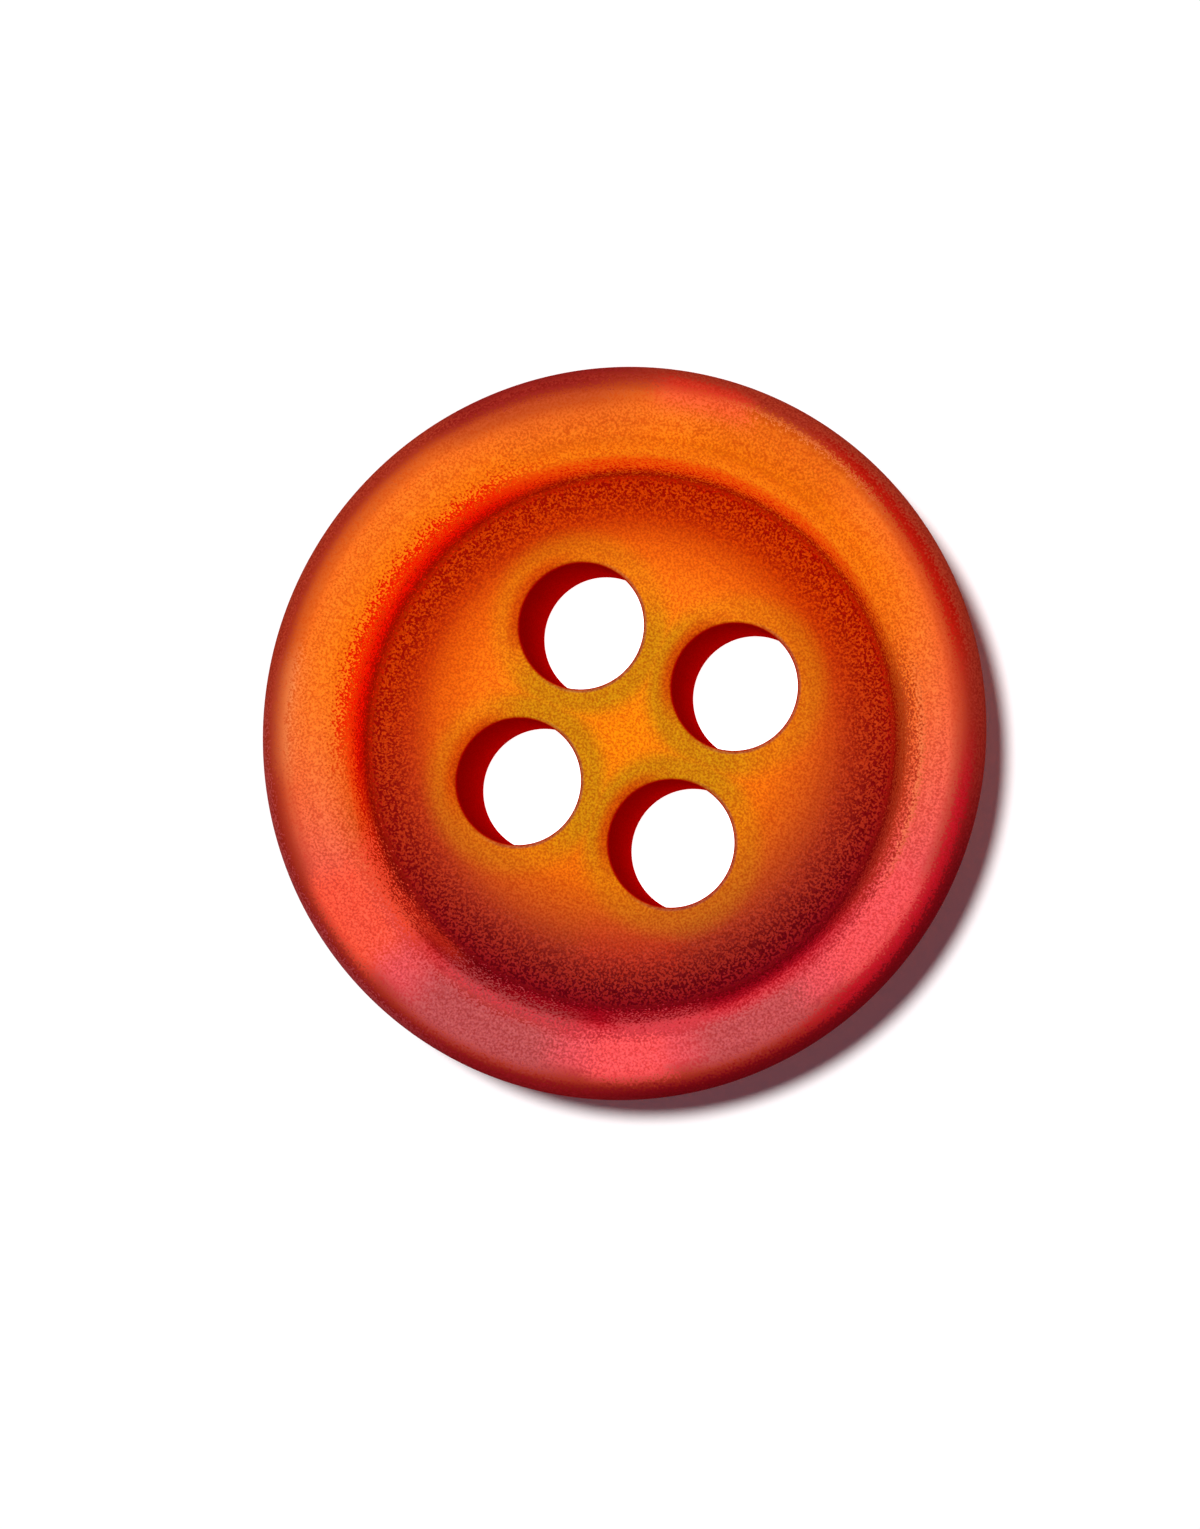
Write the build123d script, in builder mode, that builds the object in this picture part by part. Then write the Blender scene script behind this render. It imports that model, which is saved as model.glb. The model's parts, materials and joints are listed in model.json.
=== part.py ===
# A four-hole sewing button, cast in one piece and turned, in millimetres.
# +Z points up, out of the button's face. The origin is the centre of the back, on the surface it lies on.
# The thread holes stand in a square whose sides run along X and Y.

import os

from build123d import *

# Whole button
outer_diameter = 11.5       # 18 ligne, the shirt and blouse size
thickness = 3.0             # back to the crest of the rim

# Back: a flat land to lie on, then a bevel out to the widest place
back_bevel_width = 1.4
back_land_round = 1.0       # rounds the land into the bevel

# Edge: a narrow upright band at the widest place, then the rounded flank up to the rim
girdle_height = 0.12
girdle_low_round = 0.4      # rounds the bevel into the band
flank_width = 0.28
flank_height = 0.36

# Rim: a crowned ring that runs on into the flank
crown_width = 0.73
crown_rise = 0.04           # crest above the ridges

# Wall of the well: a gentle bevel inside the crown, then the steep part down to a crisp foot
inner_bevel_width = 0.3
inner_bevel_drop = 0.14
wall_top_round = 0.22
wall_width = 0.25

# Well: a level web that carries the holes, dished up to the foot of the wall
dish_rise = 0.2
web_thickness = 2.1

# Thread holes
hole_diameter = 2.0
hole_spacing = 2.65         # centre to centre along a side of the square
hole_lip = 0.07             # rounding where a hole meets the web
hole_back_bevel = 0.1       # where it leaves the back
hole_margin = 0.08          # level web left outside the lips

# Places on the half section, as distance from the axis and height, from the back round to the well
outer_radius = outer_diameter / 2
ridge_height = thickness - crown_rise
girdle_top = (outer_radius, ridge_height - flank_height)
girdle_foot = (outer_radius, girdle_top[1] - girdle_height)
back_edge = (outer_radius - back_bevel_width, 0)
outer_ridge = (outer_radius - flank_width, ridge_height)
crest = (outer_ridge[0] - crown_width / 2, thickness)
inner_ridge = (outer_ridge[0] - crown_width, ridge_height)
wall_top = (inner_ridge[0] - inner_bevel_width, ridge_height - inner_bevel_drop)
wall_foot = (wall_top[0] - wall_width, web_thickness + dish_rise)

# The level web reaches just past the lips of the holes
hole_radius = hole_diameter / 2
holes_from_axis = hole_spacing / 2**0.5
web_edge = (holes_from_axis + hole_radius + hole_lip + hole_margin, web_thickness)

corner_rounds = (
    (back_edge, back_land_round),
    (girdle_foot, girdle_low_round),
    (wall_top, wall_top_round),
)

with BuildPart() as button:
    # The turned blank: half its section, swept once round the axis
    with BuildSketch(Plane.XZ) as half_section:
        with BuildLine():
            Polyline((0, 0), back_edge, girdle_foot, girdle_top)
            TangentArc(girdle_top, outer_ridge, tangent=(0, 1))
            ThreePointArc(outer_ridge, crest, inner_ridge)
            Polyline(inner_ridge, wall_top, wall_foot)
            TangentArc(web_edge, wall_foot, tangent=(1, 0))
            Polyline(web_edge, (0, web_thickness), (0, 0))
        make_face()
        for corner, radius in corner_rounds:
            fillet(half_section.vertices().sort_by_distance(corner)[0], radius)
    revolve(axis=Axis.Z)

    # Four thread holes straight through the web, with their edges eased so that they don't cut the thread
    with GridLocations(hole_spacing, hole_spacing, 2, 2):
        Hole(hole_radius)
    mouths = button.edges(Select.LAST).filter_by(GeomType.CIRCLE).group_by(Axis.Z)
    fillet(mouths[-1], hole_lip)
    chamfer(mouths[0], hole_back_bevel)

button.part.label = "button"

os.makedirs("parts", exist_ok=True)
export_step(button.part, "parts/button.step")
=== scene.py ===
# Four-hole sewing button in pearly orange resin, lying face up on white paper.
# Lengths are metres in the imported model's own frame, and a name that ends in Mm is in millimetres.

import json
import math

import bmesh
import bpy
from mathutils import Matrix, Vector
from mathutils.geometry import interpolate_bezier

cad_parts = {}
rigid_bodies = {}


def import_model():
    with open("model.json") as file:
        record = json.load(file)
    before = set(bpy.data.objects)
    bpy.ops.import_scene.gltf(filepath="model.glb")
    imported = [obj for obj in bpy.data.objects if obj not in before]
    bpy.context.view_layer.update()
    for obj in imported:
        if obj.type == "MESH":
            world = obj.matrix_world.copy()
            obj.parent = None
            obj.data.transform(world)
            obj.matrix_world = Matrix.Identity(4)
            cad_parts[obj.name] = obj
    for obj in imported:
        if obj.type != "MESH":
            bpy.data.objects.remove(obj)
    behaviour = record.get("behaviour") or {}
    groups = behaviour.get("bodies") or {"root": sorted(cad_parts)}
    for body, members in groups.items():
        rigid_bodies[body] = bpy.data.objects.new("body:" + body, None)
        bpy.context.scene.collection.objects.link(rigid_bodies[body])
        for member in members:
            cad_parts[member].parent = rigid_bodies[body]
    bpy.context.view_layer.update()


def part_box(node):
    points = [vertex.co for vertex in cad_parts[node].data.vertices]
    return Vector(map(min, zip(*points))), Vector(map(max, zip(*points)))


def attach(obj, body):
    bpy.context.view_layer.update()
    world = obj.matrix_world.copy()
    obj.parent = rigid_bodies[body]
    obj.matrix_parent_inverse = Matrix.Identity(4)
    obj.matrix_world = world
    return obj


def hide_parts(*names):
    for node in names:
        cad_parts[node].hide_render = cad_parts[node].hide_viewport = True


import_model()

mm = 0.001
scene = bpy.context.scene
buttonLow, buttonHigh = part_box("button")
outerRadius = buttonHigh.x
fullHeight = buttonHigh.z


# Button body

bodyShape = {
    "backBevelWidth": 1.4 * mm,
    "backLandRound": 1.0 * mm,
    "girdleHeight": 0.12 * mm,
    "girdleLowRound": 0.4 * mm,
    "flankWidth": 0.28 * mm,
    "flankHeight": 0.36 * mm,
    "ridgeRound": 0.3 * mm,          # softens both ridges of the rim
    "crownWidth": 0.73 * mm,
    "crownRise": 0.04 * mm,
    "innerBevelWidth": 0.3 * mm,
    "innerBevelDrop": 0.14 * mm,
    "wallTopRound": 0.22 * mm,
    "wallWidth": 0.25 * mm,
    "wallFootRound": 0.16 * mm,
    "dishRise": 0.2 * mm,
    "webThickness": 2.1 * mm,
    "holeRadius": 1.0 * mm,
    "holeSpacing": 2.65 * mm,
    "holeLip": 0.07 * mm,
    "holeBackBevel": 0.1 * mm,
    "holeMargin": 0.08 * mm,         # level web left outside the lips
    "wellShiftMm": (0.14, -0.09),    # how far off the axis the lathe cut the well
}
bodyMesh = {
    "aroundQuarter": 64,             # steps round a quarter turn
    "alongSide": 32,                 # steps from the axis to the edge of the level web
    "acrossWeb": 10,                 # steps from a hole's lip to the border of its quarter
    "acrossRound": 8,                # steps across a rounded corner
    "acrossArc": 14,                 # steps across the flank, the crown and the dish
    "acrossLip": 7,
    "downBore": 14,
    "longestStep": 0.12 * mm,        # of the section, once it is rounded
    "weldDistance": 0.0001 * mm,
    "sharpDegrees": 35,              # corners sharper than this keep their edge
}


def arcPoints(start, end, startDirection, steps):
    # the arc that leaves start along startDirection and reaches end
    chord = end - start
    side = Vector((-startDirection.y, startDirection.x))
    radius = chord.length_squared / (2 * chord.dot(side))
    centre = start + side * radius
    sweep = 2 * math.atan2(chord.dot(side), chord.dot(startDirection))
    turned = [Matrix.Rotation(sweep * step / steps, 2) for step in range(1, steps)]
    return [centre + turn @ (start - centre) for turn in turned]


def pointAlong(path, index, step, distance):
    # the place and the direction of travel at a distance along the path from one of its points
    here = path[index]
    while True:
        there = path[index + step]
        stretch = (there - here).length
        if stretch >= distance:
            direction = (there - here).normalized()
            return here + direction * distance, direction, index
        distance -= stretch
        index += step
        here = there


def softenCorner(path, corner, radius, steps):
    # rounds the path where it passes the corner
    index = min(range(len(path)), key=lambda i: (path[i] - corner).length)
    into = (path[index] - path[index - 1]).normalized()
    out = (path[index + 1] - path[index]).normalized()
    trim = radius * math.tan(into.angle(out) / 2)
    start, startBack, before = pointAlong(path, index, -1, trim)
    end, endOn, after = pointAlong(path, index, 1, trim)
    reach = 4 / 3 * math.tan((-startBack).angle(endOn) / 4) * radius
    curve = interpolate_bezier(start, start - startBack * reach, end - endOn * reach, end, steps + 1)
    rounded = [Vector(point[:2]) for point in curve]
    return path[:before] + rounded + path[after + 1:]


def webRadius(shape):
    holeEdge = shape["holeSpacing"] / math.sqrt(2) + shape["holeRadius"]
    return holeEdge + shape["holeLip"] + shape["holeMargin"]


def ridgesAndFoot(shape):
    # distances from the axis of the outer ridge, the inner ridge and the foot of the wall
    outerRidge = outerRadius - shape["flankWidth"]
    innerRidge = outerRidge - shape["crownWidth"]
    return outerRidge, innerRidge, innerRidge - shape["innerBevelWidth"] - shape["wallWidth"]


def sectionPath(shape, mesh):
    # half the section, from the back's level part round the edge to the level web, as (distance, height)
    ridgeHeight = fullHeight - shape["crownRise"]
    girdleTop = Vector((outerRadius, ridgeHeight - shape["flankHeight"]))
    girdleFoot = girdleTop - Vector((0, shape["girdleHeight"]))
    backEdge = Vector((outerRadius - shape["backBevelWidth"], 0))
    outerRidge = Vector((outerRadius - shape["flankWidth"], ridgeHeight))
    innerRidge = outerRidge - Vector((shape["crownWidth"], 0))
    wallTop = innerRidge - Vector((shape["innerBevelWidth"], shape["innerBevelDrop"]))
    wallFoot = Vector((wallTop.x - shape["wallWidth"], shape["webThickness"] + shape["dishRise"]))
    webEdge = Vector((webRadius(shape), shape["webThickness"]))
    crownTilt = 2 * math.atan2(shape["crownRise"], shape["crownWidth"] / 2)
    crownStart = Vector((-math.cos(crownTilt), math.sin(crownTilt)))
    flank = arcPoints(girdleTop, outerRidge, Vector((0, 1)), mesh["acrossArc"])
    crown = arcPoints(outerRidge, innerRidge, crownStart, mesh["acrossArc"])
    dish = arcPoints(webEdge, wallFoot, Vector((1, 0)), mesh["acrossArc"])
    path = [Vector((webEdge.x, 0)), backEdge, girdleFoot, girdleTop, *flank, outerRidge, *crown]
    path += [innerRidge, wallTop, wallFoot, *reversed(dish), webEdge]
    rounds = [(backEdge, "backLandRound"), (girdleFoot, "girdleLowRound"), (outerRidge, "ridgeRound")]
    rounds += [(innerRidge, "ridgeRound"), (wallTop, "wallTopRound"), (wallFoot, "wallFootRound")]
    for corner, name in rounds:
        path = softenCorner(path, corner, shape[name], mesh["acrossRound"])
    even = [path[0]]
    for point in path[1:]:
        pieces = max(1, math.ceil((point - even[-1]).length / mesh["longestStep"]))
        start = even[-1]
        even += [start.lerp(point, piece / pieces) for piece in range(1, pieces + 1)]
    return even


def quarterBorder(edge, mesh):
    # the border of one quarter of the level web: the arc, then in along Y and out along X
    arc = [math.pi / 2 * step / mesh["aroundQuarter"] for step in range(mesh["aroundQuarter"])]
    inward = [edge * (1 - step / mesh["alongSide"]) for step in range(mesh["alongSide"])]
    outward = [edge * step / mesh["alongSide"] for step in range(mesh["alongSide"])]
    border = [Vector((edge * math.cos(angle), edge * math.sin(angle))) for angle in arc]
    return border + [Vector((0, y)) for y in inward] + [Vector((x, 0)) for x in outward]


def holeSection(shape, mesh):
    # down one side of a thread hole, from the rounded lip to the bevel at the back, as (distance, height)
    lip, bevel, radius = shape["holeLip"], shape["holeBackBevel"], shape["holeRadius"]
    top = shape["webThickness"] - lip
    turns = [math.pi / 2 * step / mesh["acrossLip"] for step in range(mesh["acrossLip"] + 1)]
    rounded = [(radius + lip * (1 - math.sin(turn)), top + lip * math.cos(turn)) for turn in turns]
    shares = [step / mesh["downBore"] for step in range(1, mesh["downBore"] + 1)]
    bore = [(radius, top + (bevel - top) * share) for share in shares]
    return rounded + bore + [(radius + bevel, 0)]


def addStrip(bm, rows):
    # quads between neighbouring closed rows of vertices
    for row, nextRow in zip(rows, rows[1:]):
        for index in range(len(row)):
            follower = (index + 1) % len(row)
            bm.faces.new((row[index], row[follower], nextRow[follower], nextRow[index]))


def softStep(share):
    share = min(1, max(0, share))
    return share * share * (3 - 2 * share)


def wellShare(at, shape):
    # how much of the well's own shift a place on the section takes: all of it on the wall, none at the
    # outer ridge and the level web
    if at.y < shape["webThickness"]:
        return 0
    outerRidge, innerRidge, wallFoot = ridgesAndFoot(shape)
    inside = softStep((at.x - webRadius(shape)) / (wallFoot - webRadius(shape)))
    return inside * softStep((outerRidge - at.x) / (outerRidge - innerRidge))


def turnedRings(bm, shape, mesh):
    # everything outside the level web, as the section turned round the axis
    around = 4 * mesh["aroundQuarter"]
    turns = [2 * math.pi * step / around for step in range(around)]
    spokes = [(math.cos(turn), math.sin(turn)) for turn in turns]
    rings = []
    for at in sectionPath(shape, mesh):
        x, y = (part * wellShare(at, shape) * mm for part in shape["wellShiftMm"])
        rings.append([bm.verts.new((at.x * cos + x, at.x * sin + y, at.y)) for cos, sin in spokes])
    addStrip(bm, rings)


def holedWeb(bm, shape, mesh):
    # the level web in four quarters, each one rows of quads round its thread hole
    border = quarterBorder(webRadius(shape), mesh)
    holeAt = Vector((shape["holeSpacing"] / 2, shape["holeSpacing"] / 2))
    rays = [(point - holeAt).normalized() for point in border]
    spans = [(point - holeAt).length for point in border]
    shares = [step / mesh["acrossWeb"] for step in range(1, mesh["acrossWeb"] + 1)]
    mouth = shape["holeRadius"] + shape["holeLip"]
    backMouth = shape["holeRadius"] + shape["holeBackBevel"]

    # each row as (ray, distance from the hole's axis, height): the face, the hole's wall, the back
    face, back = shape["webThickness"], 0
    rows = []
    for share in reversed(shares):
        rows.append([(ray, mouth + (span - mouth) * share, face) for ray, span in zip(rays, spans)])
    for distance, height in holeSection(shape, mesh):
        rows.append([(ray, distance, height) for ray in rays])
    for share in shares:
        rows.append([(ray, backMouth + (span - backMouth) * share, back) for ray, span in zip(rays, spans)])

    for signX in (1, -1):
        for signY in (1, -1):
            quarter = []
            for row in rows:
                places = [(holeAt + ray * distance, height) for ray, distance, height in row]
                corners = [(at.x * signX, at.y * signY, height) for at, height in places]
                quarter.append([bm.verts.new(corner) for corner in corners])
            addStrip(bm, quarter)


def buildBody(shape, mesh):
    bm = bmesh.new()
    turnedRings(bm, shape, mesh)
    holedWeb(bm, shape, mesh)
    bmesh.ops.remove_doubles(bm, verts=bm.verts, dist=mesh["weldDistance"])
    bmesh.ops.recalc_face_normals(bm, faces=bm.faces)
    body = bpy.data.meshes.new("resinButton")
    bm.to_mesh(body)
    bm.free()
    body.polygons.foreach_set("use_smooth", [True] * len(body.polygons))
    body.set_sharp_from_angle(angle=math.radians(mesh["sharpDegrees"]))
    piece = bpy.data.objects.new("resinButton", body)
    scene.collection.objects.link(piece)
    return piece


button = buildBody(bodyShape, bodyMesh)
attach(button, "root")
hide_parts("button")
print("button body:", len(button.data.polygons), "faces")


# Node helpers

def screenColour(red, green, blue):
    # a colour as a screen shows it, 0 to 255, as the linear colour that the shaders take
    shares = [value / 255 for value in (red, green, blue)]
    linear = [share / 12.92 if share <= 0.04045 else ((share + 0.055) / 1.055) ** 2.4 for share in shares]
    return (*linear, 1)


def addNode(tree, kind, **settings):
    made = tree.nodes.new(kind)
    for name, value in settings.items():
        setattr(made, name, value)
    return made


def feed(tree, socket, value):
    if isinstance(value, bpy.types.NodeSocket):
        tree.links.new(value, socket)
    else:
        socket.default_value = value


def calculate(tree, operation, *values):
    made = addNode(tree, "ShaderNodeMath", operation=operation)
    for socket, value in zip(made.inputs, values):
        feed(tree, socket, value)
    return made.outputs[0]


def calculateVector(tree, operation, *values, scale=None):
    made = addNode(tree, "ShaderNodeVectorMath", operation=operation)
    for socket, value in zip(made.inputs, values):
        feed(tree, socket, value)
    if scale is not None:
        made.inputs["Scale"].default_value = scale
    measures = operation in ("LENGTH", "DOT_PRODUCT")
    return made.outputs["Value" if measures else "Vector"]


def rise(tree, value, low, high, top=1.0):
    # a soft step from 0 at low to top at high, or falling where low is above high
    made = addNode(tree, "ShaderNodeMapRange", interpolation_type="SMOOTHSTEP")
    feed(tree, made.inputs["Value"], value)
    made.inputs["From Min"].default_value = min(low, high)
    made.inputs["From Max"].default_value = max(low, high)
    made.inputs["To Min"].default_value = 0 if low < high else top
    made.inputs["To Max"].default_value = top if low < high else 0
    return made.outputs["Result"]


def within(tree, value, low, high, soft, top=1.0):
    # top between low and high, falling to 0 over soft on either side
    after = rise(tree, value, low - soft, low + soft)
    before = rise(tree, value, high + soft, high - soft, top)
    return calculate(tree, "MULTIPLY", after, before)


def mixColours(tree, factor, first, second, blend="MIX"):
    made = addNode(tree, "ShaderNodeMix", data_type="RGBA", blend_type=blend)
    feed(tree, made.inputs["Factor"], factor)
    feed(tree, made.inputs["A"], first)
    feed(tree, made.inputs["B"], second)
    return made.outputs["Result"]


def colourRamp(tree, value, stops, interpolation="LINEAR"):
    # the colour and the strength of a ramp, with its stops as (position, (red, green, blue, strength))
    made = addNode(tree, "ShaderNodeValToRGB")
    made.color_ramp.interpolation = interpolation
    elements = made.color_ramp.elements
    elements[0].position, elements[0].color = stops[0]
    elements[1].position, elements[1].color = stops[-1]
    for position, colour in stops[1:-1]:
        elements.new(position).color = colour
    feed(tree, made.inputs["Fac"], value)
    return made.outputs["Color"], made.outputs["Alpha"]


def noise(tree, vector, scale, detail=1.0):
    made = addNode(tree, "ShaderNodeTexNoise")
    feed(tree, made.inputs["Vector"], vector)
    made.inputs["Scale"].default_value = scale
    made.inputs["Detail"].default_value = detail
    return made.outputs["Fac"]


def facing(tree, direction, degrees):
    # 1 where the direction points to this angle from X, 0 a quarter turn off and -1 opposite
    angle = math.radians(degrees)
    return calculateVector(tree, "DOT_PRODUCT", direction, (math.cos(angle), math.sin(angle), 0))


# Resin

resinLook = {
    # the resin's tones, and those of its painted light, shade, glow and sheen, as a screen shows them
    "tones": {
        "amber": (255, 135, 5),
        "orange": (255, 120, 15),
        "apricot": (250, 115, 30),
        "ochre": (225, 100, 5),
        "peach": (245, 140, 80),
        "rust": (205, 60, 0),
        "oxblood": (170, 50, 30),
        "scarlet": (255, 10, 0),
        "red": (190, 5, 0),
        "ember": (215, 50, 30),
        "coral": (255, 85, 55),
        "pink": (255, 85, 85),
        "rose": (230, 80, 85),
        "mauve": (190, 80, 80),
        "raspberry": (195, 15, 35),
        "crimson": (145, 20, 25),
        "maroon": (115, 5, 15),
    },
    # tones of the face from the axis outwards, with painted light in the bright middle and painted shade
    # towards the wall and down the flank: distance in mm, on the warm side, on the crimson side
    "rings": [
        (0.0, "amber", "amber"),
        (2.4, "orange", "ochre"),
        (3.5, "rust", "oxblood"),
        (4.1, "rust", "crimson"),        # foot of the well's wall, in painted shade
        (4.2, "red", "maroon"),
        (4.4, "orange", "raspberry"),
        (4.8, "orange", "rose"),         # crown of the rim
        (5.2, "apricot", "rose"),
        (5.5, "oxblood", "oxblood"),     # down the flank, in painted shade
        (5.6, "oxblood", "crimson"),
    ],
    "driftAngle": -60,               # the crimson side, in degrees from X
    "driftMm": (-2.1, 3.9),          # where along it the orange starts to turn and is all crimson
    "raggedMm": 0.4,                 # how far grain breaks up the borders between tones
    "raggedDegrees": 9,
    # pearl streaks, partly painted sheen where the pearl catches the lamp, painted glow on the wall and
    # bevel and painted shade down the flank and edge, by the part of the button that they cross: its two
    # borders as distances, how soft those are in mm and how ragged, then each streak's middle and half
    # width in degrees, strength and tone, in the order round the button and without overlaps
    "streaks": {
        "floor": (3.0, 3.7, 0.30, 1.0, [(294, 18, 0.30, "ember")]),
        "wall": (4.22, 4.36, 0.05, 0.5, [
            # painted glow on the warm side of the wall
            (175, 60, 0.90, "red"),
            (247, 12, 0.80, "ember"),
            (288, 28, 0.60, "raspberry"),
        ]),
        "bevel": (4.36, 4.56, 0.05, 2.2, [
            # painted glow on the warm side of the bevel
            (170, 50, 0.95, "scarlet"),
            (236, 15, 0.90, "coral"),
            (270, 19, 0.80, "mauve"),
            (301, 12, 0.70, "rose"),
            (10, 34, 0.60, "oxblood"),
        ]),
        "crown": (4.66, 5.44, 0.10, 1.0, [
            (237, 12, 0.80, "coral"),
            (268, 18, 0.95, "mauve"),
            (295, 9, 0.85, "pink"),
            (318, 14, 0.80, "mauve"),
            (346, 14, 0.60, "pink"),
            (82, 20, 0.60, "ochre"),
            (120, 18, 0.20, "oxblood"),
        ]),
        "outer crown": (5.20, 5.44, 0.20, 1.0, [
            # painted highlight along the outer ridge
            (199, 13, 0.35, "peach"),
            (40, 22, 0.35, "ember"),
            (97, 11, 0.70, "coral"),
            (128, 20, 0.60, "oxblood"),
        ]),
        "flank": (5.42, 5.60, 0.04, 1.0, [
            (352, 34, 0.85, "raspberry"),
            (54, 28, 0.75, "red"),
            (97, 10, 0.75, "ember"),
            (128, 20, 0.60, "crimson"),
        ]),
        "edge": (5.62, 5.85, 0.04, 1.0, [
            (230, 40, 0.35, "mauve"),
            # painted shade down the crimson side of the edge
            (330, 50, 0.80, "maroon"),
            (125, 22, 0.70, "crimson"),
        ]),
    },
    "streakPlateau": 0.5,            # share of a streak's half width at its full strength
    # thin lines round the rim, painted highlights along the ridges (peach) and one darker line (oxblood):
    # middle and half width in degrees, strength, tone, distance and half width in mm
    "lines": [
        (14, 26, 0.50, "peach", 4.71, 0.03),
        (78, 20, 0.50, "peach", 5.41, 0.02),
        (199, 16, 0.45, "peach", 5.30, 0.03),
        (267, 18, 0.70, "oxblood", 4.64, 0.02),
    ],
    # grain: how fine, the part of the noise that it uses, and what its dark and pale spots multiply by
    "grainPerMm": 28,
    "grainNoise": (0.3, 0.7),
    "grainDark": (0.80, 0.59, 0.59, 1),
    "grainPale": (1.13, 1.36, 1.36, 1),
    # dark red specks that crowd towards the wall of the well
    "specksPerMm": 25,
    "speckNoise": (0.47, 0.53),
    "specksMm": (3.0, 4.0),          # where they begin and are full
    "specksEndMm": (4.18, 4.12),
    "speckStrength": 0.9,
    "speckWarm": (152, 0, 0),
    "speckCrimson": (92, 0, 12),
    # lines left by the lathe
    "turningPerMm": 9,
    "turningReachMm": 0.1,           # how little they change on the way round
    "turningDark": (0.97, 0.94, 0.94, 1),
    "turningPale": (1.03, 1.06, 1.06, 1),
    # painted glow: emission that stands in for red light travelling through the wall of the well
    "glowAngle": 140,
    "glowSpread": (-0.4, 0.4),       # where round the well it begins and is full, 1 being at that angle
    "glowColour": (150, 2, 0),
    "glowMm": (4.27, 4.44, 0.06),    # from, to and softness
    # thread holes, with painted light and shade round them: each halo's colour, then where it starts and is
    # full, in mm from the hole's axis
    # olive halo: painted light from the paper showing through the thin web round each hole
    "oliveHalo": (200, 130, 8, 1.62, 1.25),
    # red halo: painted shade on one side of each hole
    "redHalo": (204, 62, 0, 1.28, 1.06),
    "haloStrength": 0.85,
    "haloOutward": 0.4,              # share of the olive halo's strength on the outer side of the holes
    "haloInwardMm": (2.5, 1.5),      # distances from the button's axis where that starts to rise and is 1
    "lipAngle": -5,                  # a dark lip of painted shade on this side of each hole, the red halo of painted shade on the other
    "redSpread": (-0.4, -0.95),
    "lipSpread": (-0.4, 0.6),
    "lipMm": (0.02, 0.06, 0.02),     # outside the hole's wall: from, to and softness
    "lipColour": (150, 60, 60),
    "lipStrength": 0.7,
    "boreMm": (0.04, 0.005),         # outside the hole's wall, where its painted shade begins and is full
    # painted shade: the holes' walls darkened to deep red
    "boreShade": (176, 2, 2),
    "boreGlow": (90, 0, 0),          # painted glow: emission for red light that the resin carries into the hole
    # edge below the widest place, and back
    "backWarm": (222, 84, 14),
    "backCrimson": (182, 42, 34),
    "backPale": (236, 114, 46),
    "cloudsPerMm": 0.45,
    "cloudNoise": (0.35, 0.65),
    "cloudStrength": 0.4,
    "backInsideMm": (1.9, 1.2),      # heights where the back's colours begin and are full, in the holes
    "backOutsideMm": (2.5, 1.7),     # and down the outside
    "outsideMm": (4.5, 4.8),         # distances from the axis that tell the two apart
    # how light meets it
    "subsurface": 0.25,
    "reachMm": 0.25,                 # how far red light travels in the resin
    "redReach": (1.0, 0.3, 0.12),
    "roughness": 0.5,
    "gloss": 0.012,
    "glossMm": (0.01, 0.06),         # outside the hole's wall, where the gloss begins and is full
}


def placesOnButton(tree, shape):
    # where a point of the surface lies, in mm: its height and its distances from the axis and from its hole
    place = addNode(tree, "ShaderNodeTexCoord").outputs["Object"]
    placeMm = calculateVector(tree, "SCALE", place, scale=1 / mm)
    flat = calculateVector(tree, "MULTIPLY", placeMm, (1, 1, 0))
    apart = addNode(tree, "ShaderNodeSeparateXYZ")
    feed(tree, apart.inputs[0], placeMm)

    outerRidge, innerRidge, wallFoot = (distance / mm for distance in ridgesAndFoot(shape))
    straight = calculateVector(tree, "LENGTH", flat)
    inside = rise(tree, straight, webRadius(shape) / mm, wallFoot)
    share = calculate(tree, "MULTIPLY", inside, rise(tree, straight, outerRidge, innerRidge))
    shifted = addNode(tree, "ShaderNodeVectorMath", operation="SCALE")
    shifted.inputs[0].default_value = (*shape["wellShiftMm"], 0)
    feed(tree, shifted.inputs["Scale"], share)
    turned = calculateVector(tree, "SUBTRACT", flat, shifted.outputs[0])

    holeAt = shape["holeSpacing"] / 2 / mm
    holeMiddle = calculateVector(tree, "SCALE", calculateVector(tree, "SIGN", flat), scale=holeAt)
    offset = calculateVector(tree, "SUBTRACT", flat, holeMiddle)
    return {
        "whole": placeMm,
        "flat": flat,
        "x": apart.outputs["X"],
        "y": apart.outputs["Y"],
        "height": apart.outputs["Z"],
        "around": calculateVector(tree, "NORMALIZE", flat),
        "fromAxis": calculateVector(tree, "LENGTH", turned),
        "fromHole": calculateVector(tree, "LENGTH", offset),
        "aroundHole": calculateVector(tree, "NORMALIZE", offset),
    }


# the ring tones: the resin's own colour with painted light and shade, warm or crimson by the drift
def ringColour(tree, look, ragged, drift):
    reach = outerRadius / mm
    share = calculate(tree, "DIVIDE", ragged, reach)
    sides = []
    for side in (1, 2):
        stops = [(ring[0] / reach, screenColour(*look["tones"][ring[side]])) for ring in look["rings"]]
        sides.append(colourRamp(tree, share, stops)[0])
    return mixColours(tree, drift, *sides)


def streakStops(look, streaks, start):
    # a colour ramp's stops for the streaks of one part, with the turn that begins at start
    stops = []
    for middle, halfWidth, strength, name in streaks:
        red, green, blue, opaque = screenColour(*look["tones"][name])
        plateau = halfWidth * look["streakPlateau"]
        for offset, share in ((-halfWidth, 0), (-plateau, strength), (plateau, strength), (halfWidth, 0)):
            stops.append(((middle + offset - start) % 360 / 360, (red, green, blue, share)))
    return stops


# pearl streaks, with their painted sheen, glow and shade
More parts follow.
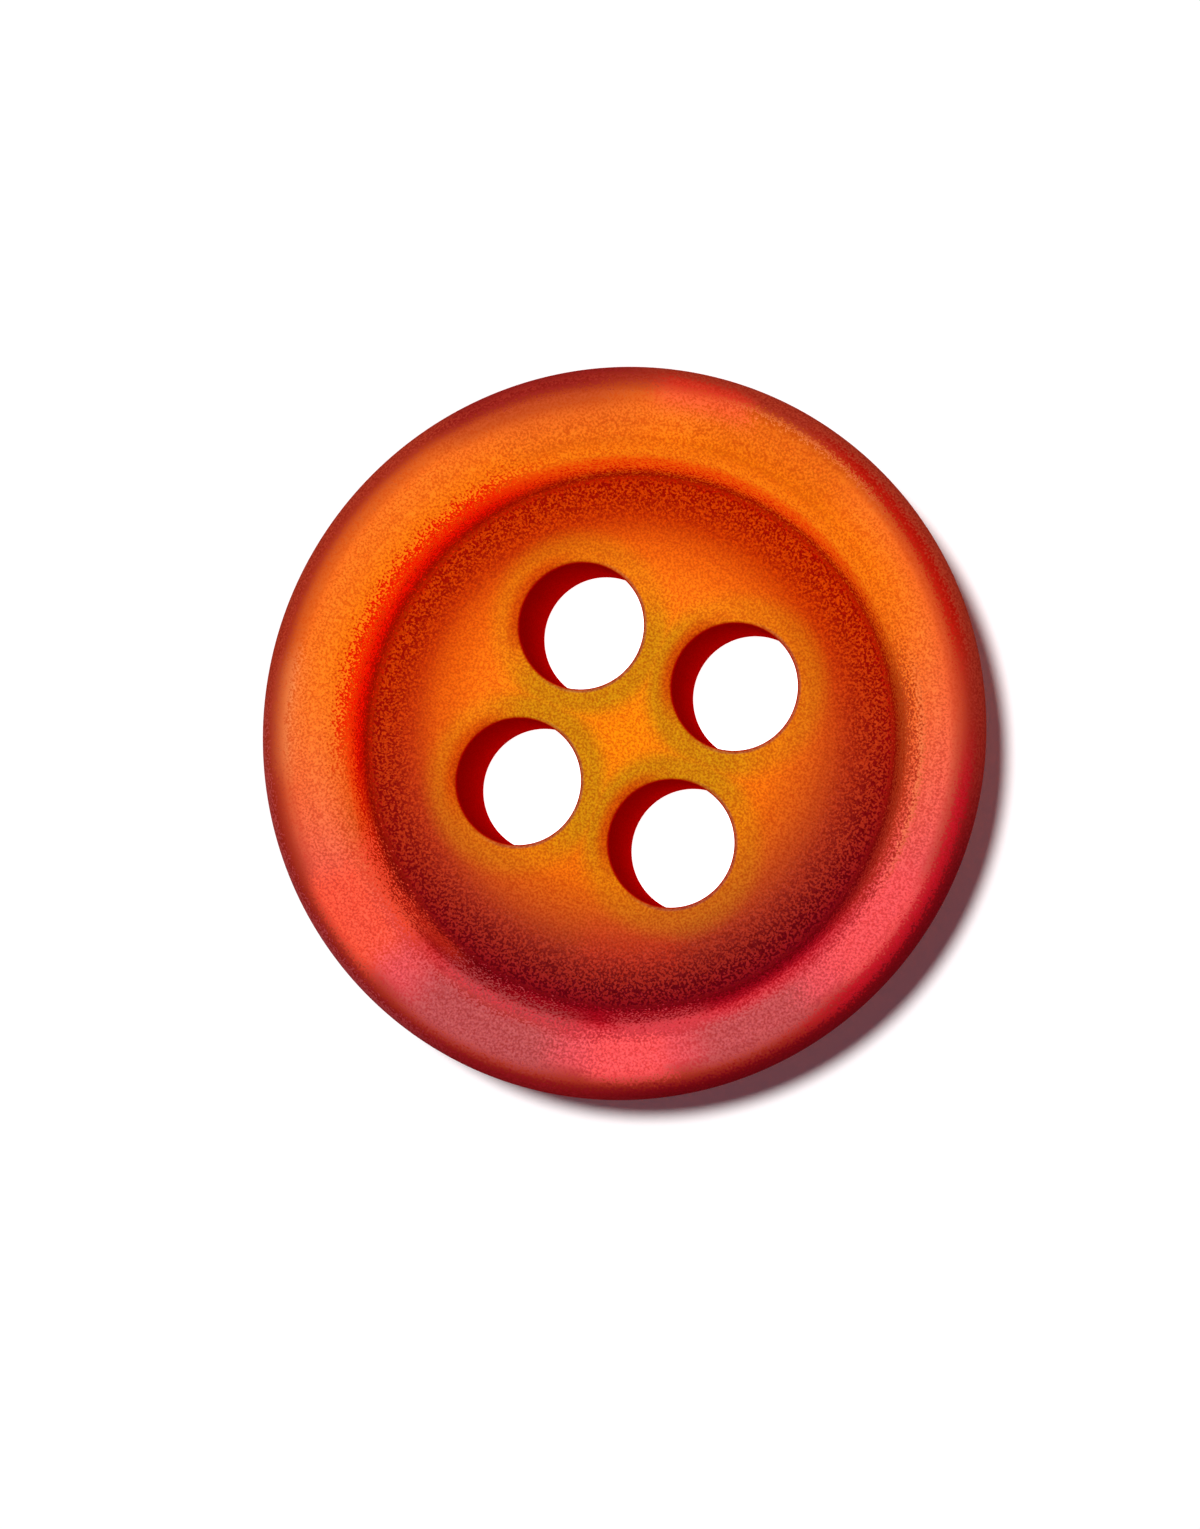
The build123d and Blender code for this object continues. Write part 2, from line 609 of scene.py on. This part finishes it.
def addStreaks(tree, look, at, colour, spread):
    angle = calculate(tree, "ARCTAN2", at["y"], at["x"])
    turn = calculate(tree, "MULTIPLY", angle, 0.5 / math.pi)
    turn = calculate(tree, "MULTIPLY_ADD", spread, look["raggedDegrees"] / 360, turn)
    for low, high, soft, raggedness, streaks in look["streaks"].values():
        start = streaks[0][0] - streaks[0][1]
        fromStart = calculate(tree, "FRACT", calculate(tree, "SUBTRACT", turn, start / 360))
        tone, strength = colourRamp(tree, fromStart, streakStops(look, streaks, start), "EASE")
        broken = calculate(tree, "MULTIPLY_ADD", spread, look["raggedMm"] * raggedness, at["fromAxis"])
        zone = within(tree, broken, low, high, soft)
        colour = mixColours(tree, calculate(tree, "MULTIPLY", strength, zone), colour, tone)
    return colour


# thin painted highlights along the ridges, and one darker line
def addLines(tree, look, at, colour, ragged):
    for angle, halfWidth, strength, name, distance, half in look["lines"]:
        edge = math.cos(math.radians(halfWidth))
        sector = rise(tree, facing(tree, at["around"], angle), edge, 1, strength)
        zone = within(tree, ragged, distance - half, distance + half, half)
        tone = screenColour(*look["tones"][name])
        colour = mixColours(tree, calculate(tree, "MULTIPLY", sector, zone), colour, tone)
    return colour


def addSpecks(tree, look, at, colour, drift):
    spots = noise(tree, at["whole"], look["specksPerMm"])
    spots = rise(tree, spots, *look["speckNoise"], look["speckStrength"])
    crowd = rise(tree, at["fromAxis"], *look["specksMm"])
    ending = rise(tree, at["fromAxis"], *look["specksEndMm"])
    share = calculate(tree, "MULTIPLY", spots, calculate(tree, "MULTIPLY", crowd, ending))
    tone = mixColours(tree, drift, screenColour(*look["speckWarm"]), screenColour(*look["speckCrimson"]))
    return mixColours(tree, share, colour, tone)


def addGrain(tree, look, at, colour, spots):
    shade = mixColours(tree, rise(tree, spots, *look["grainNoise"]), look["grainDark"], look["grainPale"])
    colour = mixColours(tree, 1.0, colour, shade, "MULTIPLY")

    # lines that run round with the turning and drift slowly along it
    ringPlace = addNode(tree, "ShaderNodeCombineXYZ")
    feed(tree, ringPlace.inputs["X"], at["fromAxis"])
    around = calculateVector(tree, "SCALE", at["around"], scale=look["turningReachMm"])
    along = calculateVector(tree, "ADD", ringPlace.outputs[0], around)
    turning = rise(tree, noise(tree, along, look["turningPerMm"]), *look["grainNoise"])
    shade = mixColours(tree, turning, look["turningDark"], look["turningPale"])
    return mixColours(tree, 1.0, colour, shade, "MULTIPLY")


def backColour(tree, look, at, drift):
    clouds = noise(tree, at["whole"], look["cloudsPerMm"])
    clouds = rise(tree, clouds, *look["cloudNoise"], look["cloudStrength"])
    colour = mixColours(tree, drift, screenColour(*look["backWarm"]), screenColour(*look["backCrimson"]))
    return mixColours(tree, clouds, colour, screenColour(*look["backPale"]))


def holeColours(tree, look, at, colour, front, radius):
    # an olive halo of painted light round each thread hole, a red halo and a dark lip of painted shade on
    # opposite sides, a wall in deep red painted shade
    side = facing(tree, at["aroundHole"], look["lipAngle"])
    inward = rise(tree, at["fromAxis"], *look["haloInwardMm"], 1 - look["haloOutward"])
    inward = calculate(tree, "ADD", inward, look["haloOutward"])
    for name, share in (("oliveHalo", inward), ("redHalo", rise(tree, side, *look["redSpread"]))):
        red, green, blue, start, full = look[name]
        halo = rise(tree, at["fromHole"], start, full, look["haloStrength"])
        halo = calculate(tree, "MULTIPLY", calculate(tree, "MULTIPLY", halo, share), front)
        colour = mixColours(tree, halo, colour, screenColour(red, green, blue))
    low, high, soft = look["lipMm"]
    lip = within(tree, at["fromHole"], radius + low, radius + high, soft, look["lipStrength"])
    lip = calculate(tree, "MULTIPLY", lip, rise(tree, side, *look["lipSpread"]))
    colour = mixColours(tree, lip, colour, screenColour(*look["lipColour"]))
    # painted shade down the hole's wall
    start, full = look["boreMm"]
    wall = rise(tree, at["fromHole"], radius + start, radius + full)
    return mixColours(tree, wall, colour, screenColour(*look["boreShade"])), wall


def backShare(tree, look, at):
    # 1 where the back's colours hold, down the outside and deep in the holes, and 0 on the face
    outside = rise(tree, at["fromAxis"], *look["outsideMm"])
    outside = calculate(tree, "MULTIPLY", outside, rise(tree, at["height"], *look["backOutsideMm"]))
    return calculate(tree, "MAXIMUM", outside, rise(tree, at["height"], *look["backInsideMm"]))


# painted glow: emission on the well's wall and inside the thread holes
def innerLight(tree, look, at, front, wall):
    glow = within(tree, at["fromAxis"], *look["glowMm"])
    sector = rise(tree, facing(tree, at["around"], look["glowAngle"]), *look["glowSpread"])
    glow = calculate(tree, "MULTIPLY", calculate(tree, "MULTIPLY", glow, sector), front)
    light = mixColours(tree, glow, (0, 0, 0, 1), screenColour(*look["glowColour"]))
    return mixColours(tree, wall, light, screenColour(*look["boreGlow"]))


def resinMaterial(look, shape):
    material = bpy.data.materials.new("pearlResin")
    material.use_nodes = True
    material.cycles.emission_sampling = "NONE"    # its glow is too faint to light anything else
    tree = material.node_tree
    surface = tree.nodes["Principled BSDF"]
    at = placesOnButton(tree, shape)
    radius = shape["holeRadius"] / mm

    drift = rise(tree, facing(tree, at["flat"], look["driftAngle"]), *look["driftMm"])
    behind = backShare(tree, look, at)
    front = calculate(tree, "SUBTRACT", 1, behind)
    spots = noise(tree, at["whole"], look["grainPerMm"])
    spread = calculate(tree, "SUBTRACT", spots, 0.5)
    ragged = calculate(tree, "MULTIPLY_ADD", spread, look["raggedMm"], at["fromAxis"])
    colour = ringColour(tree, look, ragged, drift)
    colour = addStreaks(tree, look, at, colour, spread)
    colour = addLines(tree, look, at, colour, ragged)
    colour = addSpecks(tree, look, at, colour, drift)
    colour = mixColours(tree, behind, colour, backColour(tree, look, at, drift))
    colour, wall = holeColours(tree, look, at, colour, front, radius)
    colour = addGrain(tree, look, at, colour, spots)

    glossStart, glossFull = look["glossMm"]
    gloss = rise(tree, at["fromHole"], radius + glossStart, radius + glossFull, look["gloss"])
    surface.inputs["Subsurface Weight"].default_value = look["subsurface"]
    surface.inputs["Subsurface Radius"].default_value = look["redReach"]
    surface.inputs["Subsurface Scale"].default_value = look["reachMm"] * mm
    surface.inputs["Roughness"].default_value = look["roughness"]
    surface.inputs["Specular IOR Level"].default_value = 0.0
    surface.inputs["Coat Roughness"].default_value = look["roughness"]
    surface.inputs["Emission Strength"].default_value = 1.0
    feed(tree, surface.inputs["Coat Weight"], gloss)
    feed(tree, surface.inputs["Emission Color"], innerLight(tree, look, at, front, wall))
    feed(tree, surface.inputs["Base Color"], colour)
    return material


button.data.materials.append(resinMaterial(resinLook, bodyShape))
print("resin material made")


# Paper, lamps and camera

studio = {
    "paperWidth": 0.8,
    "paperColour": (0.97, 0.97, 0.97, 1),
    "paperLift": 0.02,               # what the camera sees added to the lit paper, to make it plain white
    "farPaper": (0.012, 0.06),       # distances over which that rises to 1, where the lamp reaches less
    "hiddenPaper": (0.0036, 0.0034),    # and where it rises to 1 inwards, under the thread holes
    "worldStrength": 0.042,
    "worldColour": (0.8, 0.78, 1.5, 1),
    "lampDistance": 0.3,
    "lampWidth": 0.034,
    "lampTiltDegrees": 4.4,          # from straight overhead
    "lampAngleDegrees": 112,         # the side it leans to, from X
    "lampLevel": 1.0,                # of a white surface's brightness under it
}


def paperMaterial(look):
    material = bpy.data.materials.new("whitePaper")
    material.use_nodes = True
    material.cycles.emission_sampling = "NONE"
    tree = material.node_tree
    surface = tree.nodes["Principled BSDF"]
    surface.inputs["Base Color"].default_value = look["paperColour"]
    surface.inputs["Roughness"].default_value = 1.0
    surface.inputs["Specular IOR Level"].default_value = 0.0
    surface.inputs["Emission Color"].default_value = (1, 1, 1, 1)
    seen = addNode(tree, "ShaderNodeLightPath").outputs["Is Camera Ray"]
    place = addNode(tree, "ShaderNodeTexCoord").outputs["Object"]
    middle = calculateVector(tree, "LENGTH", place)
    lift = calculate(tree, "ADD", look["paperLift"], rise(tree, middle, *look["farPaper"]))
    lift = calculate(tree, "ADD", lift, rise(tree, middle, *look["hiddenPaper"]))
    feed(tree, surface.inputs["Emission Strength"], calculate(tree, "MULTIPLY", lift, seen))

    # from below the paper doesn't show
    clear = addNode(tree, "ShaderNodeBsdfTransparent")
    sides = addNode(tree, "ShaderNodeMixShader")
    feed(tree, sides.inputs["Fac"], addNode(tree, "ShaderNodeNewGeometry").outputs["Backfacing"])
    feed(tree, sides.inputs[1], surface.outputs["BSDF"])
    feed(tree, sides.inputs[2], clear.outputs["BSDF"])
    feed(tree, tree.nodes["Material Output"].inputs["Surface"], sides.outputs["Shader"])
    return material


def paperFloor(look):
    bm = bmesh.new()
    half = look["paperWidth"] / 2
    corners = ((-half, -half), (half, -half), (half, half), (-half, half))
    bm.faces.new([bm.verts.new((x, y, 0)) for x, y in corners])
    sheet = bpy.data.meshes.new("whitePaper")
    bm.to_mesh(sheet)
    bm.free()
    paper = bpy.data.objects.new("whitePaper", sheet)
    scene.collection.objects.link(paper)
    paper.data.materials.append(paperMaterial(look))


def whiteSky(look):
    # plain white to the camera, and a faint fill for everything else
    world = bpy.data.worlds.new("studio")
    scene.world = world
    world.use_nodes = True
    tree = world.node_tree
    background = tree.nodes["Background"]
    seen = addNode(tree, "ShaderNodeLightPath").outputs["Is Camera Ray"]
    level = addNode(tree, "ShaderNodeMix", data_type="FLOAT")
    feed(tree, level.inputs["Factor"], seen)
    level.inputs["A"].default_value = look["worldStrength"]
    level.inputs["B"].default_value = 1.0
    feed(tree, background.inputs["Strength"], level.outputs["Result"])
    feed(tree, background.inputs["Color"], mixColours(tree, seen, look["worldColour"], (1, 1, 1, 1)))


def overheadLamp(look):
    lamp = bpy.data.lights.new("overheadLamp", "AREA")
    lamp.shape = "DISK"
    lamp.size = look["lampWidth"]
    lamp.energy = look["lampLevel"] * math.pi ** 2 * look["lampDistance"] ** 2    # watts for that level
    holder = bpy.data.objects.new("overheadLamp", lamp)
    tilt, side = math.radians(look["lampTiltDegrees"]), math.radians(look["lampAngleDegrees"])
    away = Vector((math.sin(tilt) * math.cos(side), math.sin(tilt) * math.sin(side), math.cos(tilt)))
    holder.location = away * look["lampDistance"]
    holder.rotation_euler = away.to_track_quat("Z", "Y").to_euler()
    scene.collection.objects.link(holder)


paperFloor(studio)
whiteSky(studio)
overheadLamp(studio)
print("paper and lamps set")

photographer = {
    "distance": 0.075,
    "tiltDegrees": 12,               # off the button's axis, towards X
    "turnDegrees": 22,               # the picture's own turn about the view
    "lens": 112.1,
    "aimHeight": 2.0 * mm,
    "aimRight": -0.42 * mm,          # the picture's middle, from the button's
    "aimUp": -0.47 * mm,
    "clipNear": 0.001,
    "clipFar": 10,
}


def addCamera(look):
    tilt, turn = math.radians(look["tiltDegrees"]), math.radians(look["turnDegrees"])
    backward = Vector((math.sin(tilt), 0, math.cos(tilt)))
    alongX = Vector((math.cos(tilt), 0, -math.sin(tilt)))
    alongY = Vector((0, 1, 0))
    right = alongX * math.cos(turn) + alongY * math.sin(turn)
    up = alongY * math.cos(turn) - alongX * math.sin(turn)
    aim = Vector((0, 0, look["aimHeight"])) + right * look["aimRight"] + up * look["aimUp"]
    data = bpy.data.cameras.new("camera")
    data.lens = look["lens"]
    data.clip_start = look["clipNear"]
    data.clip_end = look["clipFar"]
    camera = bpy.data.objects.new("camera", data)
    camera.matrix_world = Matrix((right, up, backward)).transposed().to_4x4()
    camera.location = aim + backward * look["distance"]
    scene.collection.objects.link(camera)
    scene.camera = camera


addCamera(photographer)
scene.view_settings.view_transform = "Standard"
print("camera set")
